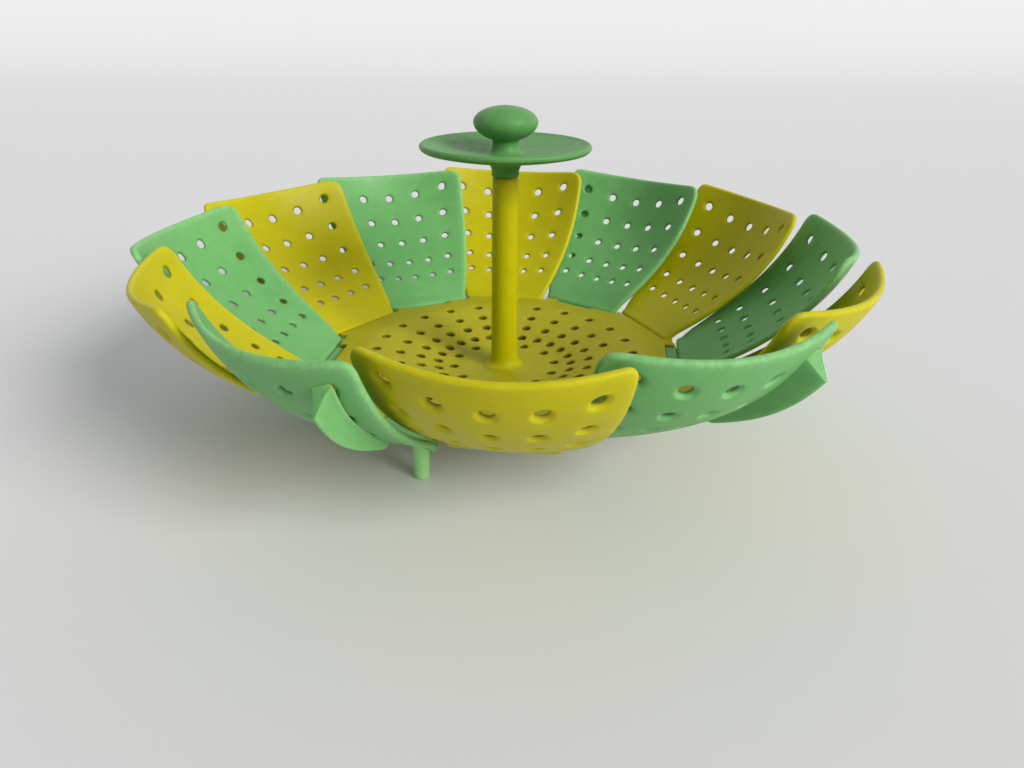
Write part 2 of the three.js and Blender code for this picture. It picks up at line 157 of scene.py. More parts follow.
# The fins. Shares run from the root end, at 0, to the top end, or from the foot to the crest.
FIN_ROOT_AT = 22.0
FIN_TOP_AT = 59.5
FIN_CREST_TOP_AT = 56.5
FIN_SHARES = (0.0, 0.2, 0.4, 0.6, 0.8, 1.0)
FIN_HEIGHTS = (1.4, 2.6, 3.9, 5.0, 5.8, 6.3)
FIN_SOFTNESS = 0.05
FIN_ROOT_SHARE = 0.08
FIN_TOP_SHARE = 0.95
FIN_RISE_SHARES = (0.02, 0.07)
FIN_WIDTHS = (2.0, 6.6)
FIN_CREST_WIDTH = 1.2
FIN_TOP_NARROWING = 0.8
FIN_CREST_NARROWING = 0.6
FIN_FLARE = np.array([1.25, 1.08, 1.0, 1.0, 1.0])
FIN_FLARE_RISES = np.array([0.0, 0.11, 0.18, 0.4, 0.7])
FIN_SHOULDER = 0.93
FIN_SINK = 0.2
FIN_COLUMN = 1.9
FIN_FOOT_WEAR_SPREAD = 0.05
FIN_CREST_WEAR_AND_HIGHLIGHT_FROM = 0.9
FIN_CREST_WEAR_AND_HIGHLIGHT = 0.5
FIN_END_WEAR_AND_HIGHLIGHT = 0.3
FIN_ROUND = 0.4

# The post, whose spigot ends in a round barb under the plate.
POST_FOOT_RADIUS = 4.5
POST_TOP_RADIUS = 4.1
POST_LENGTH = 63.4
POST_FILLET = 2.8
POST_FILLET_RISE = 0.9
POST_FILLET_SINK = 0.8
SPIGOT_RADIUS = 3.0
BARB_RADIUS = 3.8
BARB_LENGTH = 1.4

# The handle. Its heights start at the post's upper shoulder.
COLLAR_RADIUS = 4.35
COLLAR_ROUND = 0.4
COLLAR_START = 1.5
COLLAR_HEIGHT = 3.0
FLARE_RADIUS = 9.0
SAUCER_START = 10.0
SAUCER_RADIUS = 27.0
SAUCER_RIM_HEIGHT = 11.8
SAUCER_DEPTH = 3.4
SAUCER_WALL = 2.0
SAUCER_MARGINS = (3.0, 1.0)
NECK_RADIUS = 4.1
NECK_FILLET = (2.5, 2.6)
NECK_END = 1.0
KNOB_RADIUS = 10.1
KNOB_WIDEST_HEIGHT = 18.0
KNOB_HEIGHT = 22.9
KNOB_UNDERSIDE_HEIGHT = 12.8
KNOB_BULGE = 1.25
KNOB_TUCK = 0.12

# Sizes of the patterns on the plastic. The turns of the scratches are in radians.
PATCH_WIDTH = 25.0
CLOUD_WIDTH = 4.0
GRAIN_WIDTH = 1.5
SCRATCH_SIZE = (12.0, 0.5, 2.0)
SCRATCH_TURNS = ((0.4, 0.2, 0.5), (0.4, 0.2, -0.9))
FLECK_WIDTH = 2.2
WAVE_LENGTH = 9.0
WAVE_HEIGHT = 0.4
SKIN_PITCH = 0.6
SKIN_HEIGHT = 0.06
LIGHT_DEPTH = 2.0

# The camera that was fitted to the photograph: its place is in metres, its lens in pixels.
CAMERA_TURNS = (1.38, 25.23, 0.66)
CAMERA_PLACE = (-0.00336, -0.25837, 0.13261)
CAMERA_NEAR = 0.01
LENS_PIXELS = 801.3
PHOTO_PIXELS = 1024
SENSOR_WIDTH = 36

# The floor, in metres, and the light.
FLOOR_FRONT = -3.0
FLOOR_BACK = 1.4
FLOOR_BEND = 0.8
FLOOR_TOP = 4.0
FLOOR_HALF_WIDTH = 4.0
SUN_PLACE = (0.77, -0.66, 0.56)
SUN_POWER = 3.1
SUN_SPREAD = 28.0
SUN_COLOUR = (1.0, 0.98, 0.95)
SKY_POWER = 0.45


def lerp(first, last, share):
    """The value at a share of the way from first to last."""
    return first + (last - first) * share


def bell(distance, spread):
    """A bell curve: the exponential of minus the square of the distance over the spread."""
    return np.exp(-((distance / spread) ** 2))


def arc(centre, radii, first, last, steps):
    """Points of an ellipse's arc, with angles in degrees from the first to the last."""
    turn = np.radians(np.linspace(first, last, steps))
    return list(zip(centre[0] + radii[0] * np.cos(turn), centre[1] + radii[1] * np.sin(turn)))


def blade_height(along, across):
    """Height of a blade's middle: a trough, less a bow and a twist.

    The trough is a parabola across that deepens towards the rim as a power of the share along. It
    fades out at the root as a bell curve, so that the bead is straight. The bow is a parabola
    along, heavier towards the rim, and the twist is a slope across that grows evenly along.
    """
    share = along / PETAL_LENGTH
    deepening = np.maximum(share, 0) ** TROUGH_GROWTH
    curvature = lerp(1 / TROUGH_AT_ROOT, 1 / TROUGH_AT_RIM, deepening)
    trough = (1 - bell(along, ROOT_STRAIGHT)) * curvature * across**2 / 2
    bow = 4 * BOW_DEPTH * share * (1 - share) * (1 + BOW_LEAN * (share - 0.5))
    return trough - bow - math.tan(math.radians(PETAL_TWIST)) * share * across


def blade_frame(along, across):
    """Points of the blade's middle surface, and its unit normals from the slopes of its height."""
    step = SLOPE_STEP
    rise_along = blade_height(along + step, across) - blade_height(along - step, across)
    rise_across = blade_height(along, across + step) - blade_height(along, across - step)
    normals = np.stack([-rise_along, -rise_across, np.full_like(rise_along, 2 * step)], -1)
    normals /= np.linalg.norm(normals, axis=-1, keepdims=True)
    lean = PETAL_LEAN * along / PETAL_LENGTH
    return np.stack([along, across + lean, blade_height(along, across)], -1), normals


def blade_half(along):
    """Half of the blade's thickness: even, and swelling to the bead's radius at the root."""
    return HALF_THICKNESS + (BEAD_RADIUS - HALF_THICKNESS) * bell(along, BEAD_FADE)


def rim_at(across):
    """How far up a blade's faces end: the rim less its nose, falling as a square both ways."""
    share = across / EDGE_WIDTHS[-1]
    return RIM_AT + RIM_TILT * share - RIM_FALL * share**2 - HALF_THICKNESS


def edge_at(along, side):
    """Where a blade's faces end across: a line from root to rim plus a parabola, less the nose.

    It ends in a quarter circle at the corner.
    """
    width, corner = EDGE_WIDTHS[side], CORNER_RADII[side]
    radius = corner - HALF_THICKNESS
    share = along / PETAL_LENGTH
    plain = lerp(ROOT_WIDTHS[side], width, share) + EDGE_SWELLS[side] * share * (1 - share)
    start = rim_at(side * (width - corner)) - radius
    past = np.clip(along - start, 0, radius)
    return side * (plain - corner + np.sqrt(radius**2 - past**2))


# Lines across the blade that bound its rows of cells, with plain rows before the first hole.
HOLE_ROWS = ROW_SHARES * PETAL_LENGTH
ROW_GAPS = np.diff(HOLE_ROWS)
ROW_LINES = np.concatenate([
    [0, HOLE_ROWS[0] / 3, HOLE_ROWS[0] - ROW_GAPS[0] / 2],
    (HOLE_ROWS[1:] + HOLE_ROWS[:-1]) / 2,
    [HOLE_ROWS[-1] + ROW_GAPS[-1] * LAST_LINE_SHARE],
])
LAST_LINE = len(ROW_LINES) - 1
PLAIN_ROWS = LAST_LINE - len(HOLE_ROWS)

# Rows and columns of the points in the plain margins, closest at the bead and at the rim.
ROOT_ROWS = np.concatenate([np.linspace(0, 1, 7)[:-1], np.linspace(1, PLAIN_ROWS, 7)])
RIM_ROWS = LAST_LINE + 1 - (1 - np.linspace(0, 1, 9)) ** 2
FINE_COLUMNS = np.linspace(0, COLUMNS, COLUMNS * BLADE_SIDE + 1)


def between_rows(values, along):
    """A value that runs evenly from the first row of holes to the last."""
    return lerp(*values, (along - HOLE_ROWS[0]) / (HOLE_ROWS[-1] - HOLE_ROWS[0]))


def from_root(along):
    """A share that runs evenly from 0 at the blade's root to 1 at its first row of holes."""
    return np.clip(along / HOLE_ROWS[0], 0, 1)


def blade_place(row, column):
    """Along and across for a place in the blade's rows and columns, by lines between its edges.

    Rows count the lines, and the rim is one past the last. Columns run from side -1, and the edges
    bound the outer ones; the others keep to the holes' spacing. No row passes the rim's own curve,
    which cuts the ends of the corner circles and keeps the last rows apart.
    """
    row, column = np.broadcast_arrays(np.asarray(row, float), np.asarray(column, float))
    past = np.clip(row - LAST_LINE, 0, 1)
    line = np.interp(np.minimum(row, LAST_LINE), np.arange(LAST_LINE + 1), ROW_LINES)
    ends = {side: side * (EDGE_WIDTHS[side] - CORNER_RADII[side]) for side in SIDES}
    edges = {side: edge_at(lerp(line, rim_at(ends[side]), past), side) for side in SIDES}
    line_edges = {side: edge_at(line, side) for side in SIDES}
    knots = [edges[-1]]
    for k in range(1, COLUMNS):
        plain = lerp(line_edges[-1], line_edges[1], k / COLUMNS)
        gridded = (k - COLUMNS / 2) * between_rows(HOLE_SPACINGS, line)
        near_rim = lerp(ends[-1], ends[1], k / COLUMNS)
        knots.append(lerp(lerp(plain, gridded, from_root(line)), near_rim, past))
    knots = np.stack([*knots, edges[1]], -1)
    low = np.clip(np.floor(column), 0, COLUMNS - 1).astype(int)
    before = np.take_along_axis(knots, low[..., None], -1)[..., 0]
    after = np.take_along_axis(knots, low[..., None] + 1, -1)[..., 0]
    across = lerp(before, after, column - low)
    along = lerp(line, rim_at(lerp(ends[-1], ends[1], column / COLUMNS)), past)
    limit = rim_at(across) - ROW_SPREAD * (1 - past)
    return lerp(np.minimum(along, limit), limit, past), across


def grid_faces(rows, columns, wrap=False, flip=False, start=0):
    """Quads of a grid of points stored row by row, closed round in its rows if wrap is set."""
    i, j = np.meshgrid(np.arange(rows - 1), np.arange(columns - (not wrap)), indexing="ij")
    near, far, after = i * columns, (i + 1) * columns, (j + 1) % columns
    quads = np.stack([near + j, near + after, far + after, far + j], -1).reshape(-1, 4) + start
    return quads[:, ::-1] if flip else quads


def strip_faces(inner, outer):
    """Triangles between two closed borders in the plane, each running its own way round once.

    They are a Delaunay filling of both borders, less the triangles that lie inside the inner one,
    and are numbered into the inner border's points followed by the outer one's.
    """
    count = len(inner)
    places = np.concatenate([inner, outer])
    numbers = np.arange(count), np.arange(count, len(places))
    after = np.concatenate([np.roll(border, -1) for border in numbers])
    # The filling is asked for within the outer border, with only coinciding points merged.
    vectors, border_edges = [Vector(place) for place in places], list(enumerate(after.tolist()))
    filled = delaunay_2d_cdt(vectors, border_edges, [], WITHIN_BORDER, SAME_PLACE)
    corners, sources = filled[2], filled[3]
    faces = np.array([source[0] for source in sources])[np.array(corners)]
    faces = faces[(faces >= count).any(1)]
    sides = places[faces[:, 1:]] - places[faces[:, :1]]
    turned = sides[:, 0, 0] * sides[:, 1, 1] < sides[:, 0, 1] * sides[:, 1, 0]
    faces[turned] = faces[turned, ::-1]
    return faces


class Shell:
    """Grids of points and their faces, gathered into one closed mesh."""

    def __init__(self):
        self.points, self.faces, self.worn, self.stained, self.count = [], [], [], [], 0

    def add(self, points, wrap=False, flip=False, worn=0.0, stained=0.0, faces=None):
        """Adds a grid of points with its quads, or with faces of its own, and its two shares."""
        rows, columns = points.shape[:2]
        if faces is None:
            faces = grid_faces(rows, columns, wrap, flip, self.count)
        else:
            faces = (faces[:, ::-1] if flip else faces) + self.count
        self.faces += faces.tolist()
        self.points.append(points.reshape(-1, 3))
        for kept, share in ((self.worn, worn), (self.stained, stained)):
            kept.append(np.broadcast_to(share, (rows, columns)).reshape(-1))
        self.count += rows * columns

    def mesh(self, name):
        """A mesh in metres, its borders welded, and its shares of wear and painted highlight and of
        painted hole shade as attributes.
        """
        mesh = bpy.data.meshes.new(name)
        points = np.concatenate(self.points) * MM
        mesh.from_pydata(points.tolist(), [], self.faces)
        for kind, kept in (("worn", self.worn), ("stained", self.stained)):
            values = mesh.attributes.new(kind, "FLOAT", "POINT").data
            values.foreach_set("value", np.concatenate(kept).astype("f"))
        welded = bmesh.new()
        welded.from_mesh(mesh)
        bmesh.ops.remove_doubles(welded, verts=welded.verts, dist=WELD * MM)
        bmesh.ops.dissolve_degenerate(welded, edges=welded.edges, dist=SLIVER * MM)
        welded.to_mesh(mesh)
        welded.free()
        mesh.shade_smooth()
        return mesh


def holed_cells(loops, centres, radius, reaches, depths, steps):
    """Rings from each cell's border to its hole, through it, and out again on the other face.

    A ring on a face is a share of the way from the border to the circle round the hole, along the
    ray through each border point. A ring in the hole is the hole's radius plus its reach, at its
    depth. The share of painted shade on the hole's wall is 1 where the reach is 0, and falls off
    as a bell curve of it.
    """
    rays = loops - centres[:, None]
    rays /= np.linalg.norm(rays, axis=-1, keepdims=True)
    circles = centres[:, None, None] + (radius + reaches)[:, None, None] * rays[:, None]
    shares = np.linspace(0, 1, steps, endpoint=False)[:, None, None]
    front = lerp(loops[:, None], circles[:, :1], shares)
    back = lerp(circles[:, -1:], loops[:, None], 1 - shares[::-1])
    depths = np.concatenate([np.full(steps, depths[0]), depths, np.full(steps, depths[-1])])
    stained = np.concatenate([np.zeros(steps), bell(reaches, HOLE_SHADE_SPREAD), np.zeros(steps)])
    return np.concatenate([front, circles, back], 1), depths, stained[:, None]


def blade_wear_and_highlight(along, across):
    """Paleness of a blade's faces, partly wear and partly painted highlight: an exponential of the
    distance to an edge, fading at the root.
    """
    edges = [np.abs(edge_at(np.minimum(along, RIM_AT), side) - across) for side in SIDES]
    near = np.minimum(np.minimum(*edges), np.abs(rim_at(across) - along))
    return np.exp(-near / WEAR_AND_HIGHLIGHT_SPREAD) * from_root(along)


def blade_cells(shell):
    """A blade's square cells, row by row, with holes that widen from row to row.

    Each hole opens into a soft dimple on both faces, and the outer dimple is painted pale as a
    highlight. The walls of the holes carry painted shade.
    """
    steps = np.arange(BLADE_SIDE) / BLADE_SIDE
    zero = 0 * steps
    rows = np.concatenate([steps, 1 + zero, 1 - steps, zero])
    columns = np.concatenate([zero, steps, 1 + zero, 1 - steps])
    number = np.arange(COLUMNS)
    for i, row_at in enumerate(HOLE_ROWS):
        loops = np.stack(blade_place(PLAIN_ROWS + i + rows, number[:, None] + columns), -1)
        middles = (number - (COLUMNS - 1) / 2) * between_rows(HOLE_SPACINGS, row_at)
        centres = np.stack([np.full(COLUMNS, row_at), middles], -1)
        radius = between_rows(HOLE_RADII, row_at)
        # The walls of the holes carry painted shade.
        cells, depths, stained = holed_cells(loops, centres, radius, BLADE_REACHES, BLADE_DEPTHS, 3)
        points, normals = blade_frame(cells[..., 0], cells[..., 1])
        # The outer dimple is painted pale as a highlight, and the faces near the edges pale as wear
        # and painted highlight.
        dimple = np.interp(depths, DIMPLE_HIGHLIGHT_DEPTHS, [0, 1, 1, 0])
        worn = np.maximum(blade_wear_and_highlight(cells[..., 0], cells[..., 1]), dimple[:, None])
        lift = depths[:, None] * blade_half(cells[..., 0])
        for cell, cell_wear_and_highlight in zip(points + normals * lift[..., None], worn):
            shell.add(cell, wrap=True, worn=cell_wear_and_highlight, stained=stained)


def blade_margins(shell):
    """A blade's plain faces at its root and its rim, half its thickness off its middle."""
    for rows in (ROOT_ROWS, RIM_ROWS):
        along, across = blade_place(rows[:, None], FINE_COLUMNS)
        points, normals = blade_frame(along, across)
        half, worn = blade_half(along)[..., None], blade_wear_and_highlight(along, across)
        for face in (1, -1):
            shell.add(points + face * half * normals, flip=face > 0, worn=worn)


def blade_nose(shell):
    """The rounded border of a blade: half circles from face to face, square to the way round it."""
    middle_rows = np.arange(PLAIN_ROWS + 1 / BLADE_SIDE, LAST_LINE, 1 / BLADE_SIDE)
    side_rows = np.concatenate([ROOT_ROWS, middle_rows, RIM_ROWS])
    up, over = side_rows[:-1], FINE_COLUMNS[:-1]
    down, back = side_rows[:0:-1], FINE_COLUMNS[:0:-1]
    rows = np.concatenate([up, 0 * over + LAST_LINE + 1, down, 0 * back])
    columns = np.concatenate([0 * up, over, 0 * down + COLUMNS, back])
    along, across = blade_place(rows, columns)
    points, normals = blade_frame(along, across)
    sideways = np.cross(np.roll(points, -1, 0) - np.roll(points, 1, 0), normals)
    sideways /= np.linalg.norm(sideways, axis=-1, keepdims=True)
    turns = np.linspace(0, math.pi, NOSE_POINTS)[:, None, None]
    half = blade_half(along)[:, None]
    nose = points + half * (np.cos(turns) * normals + np.sin(turns) * sideways)
    # The nose is painted pale, partly as wear and partly as a highlight.
    shell.add(nose, wrap=True, flip=True, worn=from_root(along))


def blade_mesh():
    """A troughed blade of even thickness: square cells round its holes, margins and a nose."""
    shell = Shell()
    blade_cells(shell)
    blade_margins(shell)
    blade_nose(shell)
    return shell.mesh("blade")


def fin_mesh():
    """A swept bar square to the blade's outer side: a flared foot, flat flanks and a rounded crest.

    Its height runs between measured heights, softened by averaging, and rises from the root as a
    quarter circle. Its width narrows at the top end as a quarter circle too.
    """
    shell = Shell()
    ends = np.linspace(0, 1, 8)
    share = np.concatenate([
        FIN_ROOT_SHARE * ends[:-1] ** 2,
        np.linspace(FIN_ROOT_SHARE, FIN_TOP_SHARE, 32),
        1 - (1 - FIN_TOP_SHARE) * (1 - ends[1:]) ** 2,
    ])[:, None]
    foot_at = lerp(FIN_ROOT_AT, FIN_TOP_AT, share)
    crest_at = lerp(FIN_ROOT_AT, FIN_CREST_TOP_AT, share)
    shifts = FIN_SOFTNESS * np.linspace(-1, 1, 7)
    soft = np.mean([np.interp(share + shift, FIN_SHARES, FIN_HEIGHTS) for shift in shifts], 0)
    least, full = FIN_RISE_SHARES
    height = soft * np.sqrt(1 - (1 - np.clip(share / full, least, 1)) ** 2)
    narrowing = np.sqrt(1 - np.clip((share - FIN_TOP_SHARE) / (1 - FIN_TOP_SHARE), 0, 1) ** 2)
    width = lerp(*FIN_WIDTHS, share) * lerp(FIN_TOP_NARROWING, 1, narrowing)
    crest_width = FIN_CREST_WIDTH * lerp(FIN_CREST_NARROWING, 1, narrowing)
    turn = np.linspace(0, math.pi, NOSE_POINTS)
    crown = lerp(FIN_SHOULDER, 1, np.sin(turn))
    side = np.concatenate([-FIN_FLARE, -np.cos(turn), FIN_FLARE[::-1]])
    rise = np.concatenate([FIN_FLARE_RISES, crown, FIN_FLARE_RISES[::-1]])
    foot, foot_normal = blade_frame(foot_at, FIN_COLUMN * between_rows(HOLE_SPACINGS, foot_at))
    crest, crest_normal = blade_frame(crest_at, FIN_COLUMN * between_rows(HOLE_SPACINGS, crest_at))
    foot = foot - FIN_SINK * HALF_THICKNESS * foot_normal
    crest = crest - (HALF_THICKNESS + SEAT_GAP + height[..., None]) * crest_normal
    bar = lerp(foot, crest, rise[:, None])
    bar[..., 1] += side * lerp(width, crest_width, rise) / 2
    # The crest is painted pale, partly as wear and partly as a highlight, and the foot is worn
    # pale.
    crest_wear = FIN_CREST_WEAR_AND_HIGHLIGHT * (rise > FIN_CREST_WEAR_AND_HIGHLIGHT_FROM)
    shell.add(bar, wrap=True, worn=np.maximum(np.exp(-rise / FIN_FOOT_WEAR_SPREAD), crest_wear))
    # The end caps are painted a little pale, partly as wear and partly as a highlight.
    for end, flip in ((bar[0], True), (bar[-1], False)):
        hub = np.broadcast_to(end.mean(0), end.shape)
        cap = np.stack([end, lerp(end, hub, 0.5), hub])
        shell.add(cap, wrap=True, flip=flip, worn=FIN_END_WEAR_AND_HIGHLIGHT)
    return shell.mesh("fin")


def plate_rise(radius):
    """The plate's top: straight stretches between measured circles, softened, plus the boss.

    The softening is an average over shifted radii, and the boss rises as a smooth step.
    """
    shifts = PLATE_SOFTNESS * np.linspace(-1, 1, 9)
    rises = [np.interp(radius + shift, PLATE_RISE_RADII, PLATE_RISES) for shift in shifts]
    share = np.clip((BOSS_RADIUS - radius) / (BOSS_RADIUS - POST_FOOT_RADIUS), 0, 1)
    return np.mean(rises, 0) + BOSS_RISE * share**2 * (3 - 2 * share)


def plate_points(places, offsets):
    """Places in x and y, with the plate's rise and an offset from the middle of its thickness."""
    radius = np.linalg.norm(places, axis=-1)
    height = plate_rise(radius) - PLATE_THICKNESS / 2 + offsets
    return np.concatenate([places, (height + STAND_HEIGHT)[..., None]], -1)


def polar(radius, angle):
    """Places at a radius and an angle in degrees."""
    turn = np.radians(angle)
    return np.stack([radius * np.cos(turn), radius * np.sin(turn)], -1)


def in_hinge_frame(reach, across, petal):
    """Places at a reach along a petal's hinge normal and across it, turned to that petal."""
    turn = np.radians(petal * 360 / PETAL_COUNT - HINGE_SKEW)
    return np.stack([reach * np.cos(turn) - across * np.sin(turn),
                     reach * np.sin(turn) + across * np.cos(turn)], -1)


def plate_outline():
    """The plate's border: straight walls behind the beads, with a notch at each green petal.

    The points lie evenly between corners, whose numbers within a petal are given.
    """
    wall = HINGE_REACH - BEAD_RADIUS - SEAT_GAP - SEAT_SLOPE * (PLATE_RISES[-1] - HINGE_RISE)
    low, high = ROOT_OFFSET - ROOT_WIDTHS[-1] - ROOT_RELIEF, ROOT_OFFSET + BEAD_LENGTH / 2
    notch_low, notch_high = ROOT_OFFSET - NOTCH_HALF_WIDTH, ROOT_OFFSET + NOTCH_HALF_WIDTH
    notched = [(wall, low), (wall, notch_low), (NOTCH_REACH, notch_low), (NOTCH_REACH, notch_high),
               (wall, notch_high), (wall, high)]
    corners, stops = [], []
    for petal in range(PETAL_COUNT):
        kept = slice(None, None, 1 if petal % 2 == 0 else len(notched) - 1)
        corners += [in_hinge_frame(*place, petal) for place in notched[kept]]
        stops += [petal * PETAL_POINTS + stop for stop in CORNER_POINTS[kept]]
    corners.append(corners[0])
    stops.append(PETAL_COUNT * PETAL_POINTS)
    index = np.arange(PETAL_COUNT * PETAL_POINTS)
    return np.stack([np.interp(index, stops, places) for places in np.array(corners).T], -1)


def plate_cells(shell):
    """Rings of polar cells round the plate's holes, one hole to a cell.

    The first ring has half as many cells as the others, so its outer sides have more points, and
    so have the last ring's, which meet the rim.
    """
    last = len(HOLE_CIRCLES) - 1
    for ring, (circle, inner, outer) in enumerate(zip(HOLE_CIRCLES, CELL_RADII, CELL_RADII[1:])):
        count = PETAL_COUNT if ring == 0 else 2 * PETAL_COUNT
        spread = 360 / count
        outer_side = DENSE_SIDE if ring in (0, last) else SPARSE_SIDE
        radial = (CELL_POINTS - SPARSE_SIDE - outer_side) // 2
        steps = np.arange(radial) / radial
        radius = np.concatenate([lerp(inner, outer, steps), np.full(outer_side, outer),
                                 lerp(inner, outer, 1 - steps), np.full(SPARSE_SIDE, inner)])
        angle = spread * np.concatenate([0 * steps, np.arange(outer_side) / outer_side,
                                         1 + 0 * steps, 1 - np.arange(SPARSE_SIDE) / SPARSE_SIDE])
        starts = np.arange(count) * spread + PLATE_HOLE_TURN
        loops = polar(radius, angle + starts[:, None])
        centres = polar(circle, starts + spread / 2)
        # The walls of the plate's holes carry painted shade.
        cells, depths, stained = holed_cells(
            loops, centres, PLATE_HOLE_RADIUS, PLATE_REACHES, PLATE_DEPTHS, 2)
        for cell in plate_points(cells, PLATE_THICKNESS / 2 * depths[:, None]):
            shell.add(cell, wrap=True, stained=stained)


def plate_mesh():
    """A dished plate: polar cells round its holes, a middle with a bore, rings, and a filled strip.

    Its border is an edge of two quarter circles, set off square to the plate's outline.
    """
    shell = Shell()
    plate_cells(shell)
    half = PLATE_THICKNESS / 2

    def rings(radii, count):
        """Circles of places at even angles, turned with the holes."""
        return polar(radii[:, None], np.arange(count) * (360 / count) + PLATE_HOLE_TURN)

    middle = rings(np.linspace(BORE_RADIUS, CELL_RADII[0], 14), PETAL_COUNT * SPARSE_SIDE)
    rim = rings(np.linspace(CELL_RADII[-1], STRIP_REACH, 5), PETAL_COUNT * PETAL_POINTS)
    outline = plate_outline()
    tangent = np.roll(outline, -1, 0) - np.roll(outline, 1, 0)
    inward = np.stack([-tangent[:, 1], tangent[:, 0]], -1)
    inward /= np.linalg.norm(inward, axis=-1, keepdims=True)
    inset = outline + PLATE_EDGE * inward
    strip, filling = np.concatenate([rim[-1], inset])[None], strip_faces(rim[-1], inset)
    for face in (1, -1):
        shell.add(plate_points(middle, face * half), wrap=True, flip=face > 0)
        shell.add(plate_points(rim, face * half), wrap=True, flip=face > 0)
        shell.add(plate_points(strip, face * half), flip=face < 0, faces=filling)
    bore = np.broadcast_to(middle[0], (2, *middle[0].shape))
    shell.add(plate_points(bore, np.array([[half], [-half]])), wrap=True)
    turns = np.linspace(0, math.pi / 2, 4)
    out, drop = np.sin(turns), PLATE_EDGE * (1 - np.cos(turns))
    out = np.concatenate([out, out[::-1]])[:, None, None]
    offsets = np.concatenate([half - drop, drop[::-1] - half])[:, None]
    edge = plate_points(inset - PLATE_EDGE * out * inward, offsets)
    shell.add(edge, wrap=True, flip=True, worn=PLATE_EDGE_WEAR)
    return shell.mesh("plate")


def prism_mesh(name, profile, spans, petals):
    """A closed profile carried straight over spans across each of the petals named.

    The profile's places go outwards and upwards from the hinge line.
    """
    outwards, upwards = np.array(profile).T
    ends = np.array([(petal, across) for petal in petals for span in spans for across in span])
    places = in_hinge_frame(HINGE_REACH + outwards, ROOT_OFFSET + ends[:, 1:], ends[:, :1])
    heights = np.broadcast_to(STAND_HEIGHT + HINGE_RISE + upwards, places.shape[:2])
    points = np.concatenate([places, heights[..., None]], -1) * MM
    count, faces = len(profile), []
    for start in range(0, len(ends) * count, 2 * count):
        near, far = range(start, start + count), range(start + count, start + 2 * count)
        faces += [list(near), list(far[::-1])]
        faces += grid_faces(2, count, wrap=True, flip=True, start=start).tolist()
    mesh = bpy.data.meshes.new(name)
    mesh.from_pydata(points.reshape(-1, 3).tolist(), [], faces)
    shape = bmesh.new()
    shape.from_mesh(mesh)
    bmesh.ops.recalc_face_normals(shape, faces=shape.faces)
    shape.to_mesh(mesh)
    shape.free()
    return mesh


def seat_profile(inner_x, wall_top, step=None):
    """The leaning wall behind the bead, the hollow that the bead lies in, and the floor under it.

    The hollow is an arc round the hinge line. A step, where given, cuts the inner upper corner.
    """
    reach = BEAD_RADIUS + SEAT_GAP
    floor = -reach - SEAT_FLOOR
    hollow = arc((0, 0), (reach, reach), *SEAT_WRAP, 9)
    points = [(-reach - SEAT_SLOPE * wall_top, wall_top), *hollow]
    points += [(-reach * SEAT_FOOT, floor), (inner_x, floor)]
    points += [(inner_x, step[1]), step, (step[0], wall_top)] if step else [(inner_x, wall_top)]
    return points


def turned_mesh(name, profile, segments):
    """A profile of radii and heights carried round the post's axis.

    It starts and ends on the axis, or ends where it began.
    """
    shell = Shell()
    radius, height = np.asarray(profile, float).T[..., None]
    turn = np.arange(segments) / segments * 2 * math.pi
    points = [radius * np.cos(turn), radius * np.sin(turn), height + 0 * turn]
    shell.add(np.stack(points, -1), wrap=True)
    return shell.mesh(name)


def ring_mesh():
    """A band of even thickness that follows the plate's underside at the clearance."""
    radii = np.linspace(*RING_RADII, 9)
    top = plate_rise(radii) - PLATE_THICKNESS - SEAT_GAP + STAND_HEIGHT
    bottom = top - RING_THICKNESS
    profile = [*zip(radii[::-1], top[::-1]), *zip(radii, bottom), (radii[-1], top[-1])]
    return turned_mesh("ring", profile, 144)


def foot_mesh():
    """A tapered pin with a quarter-round tip and a shoulder that flares as a high power."""
    top = STAND_HEIGHT + plate_rise(FOOT_CIRCLE) - PLATE_THICKNESS - RING_THICKNESS
    centre = FOOT_TIP_RADIUS - FOOT_TIP_ROUNDING, FOOT_TIP_ROUNDING
    tip = arc(centre, (FOOT_TIP_ROUNDING, FOOT_TIP_ROUNDING), -90, 0, 7)
    shares = np.linspace(0.1, 1, 8)
    radii = lerp(FOOT_TIP_RADIUS, FOOT_TOP_RADIUS, shares) + FOOT_FLARE * shares**FOOT_FLARE_POWER
    heights = lerp(FOOT_TIP_ROUNDING, top, shares)
    return turned_mesh("foot", [(0, 0), *tip, *zip(radii, heights), (0, top)], 40)


def post_mesh():
    """A tapered post whose fillet dies out up it as an exponential, on a round-barbed spigot."""
    bottom = STAND_HEIGHT + BOSS_RISE - POST_FILLET_SINK
    top = STAND_HEIGHT + POST_LENGTH + COLLAR_START
    shares = np.linspace(0, 1, 60) ** 2
    fillet = POST_FILLET * np.exp(-shares * POST_LENGTH / POST_FILLET_RISE)
    radii = lerp(POST_FOOT_RADIUS, POST_TOP_RADIUS, shares) + fillet
    under = STAND_HEIGHT - PLATE_THICKNESS - SEAT_GAP
    half = BARB_LENGTH / 2
    barb = arc((BARB_RADIUS - half, under - half), (half, half), -90, 90, 7)
    spigot = [(0, under - BARB_LENGTH), *barb, (SPIGOT_RADIUS, under), (SPIGOT_RADIUS, bottom)]
    sides = zip(radii, lerp(bottom, top, shares))
    return turned_mesh("post", [*spigot, *sides, (0, top)], 64)


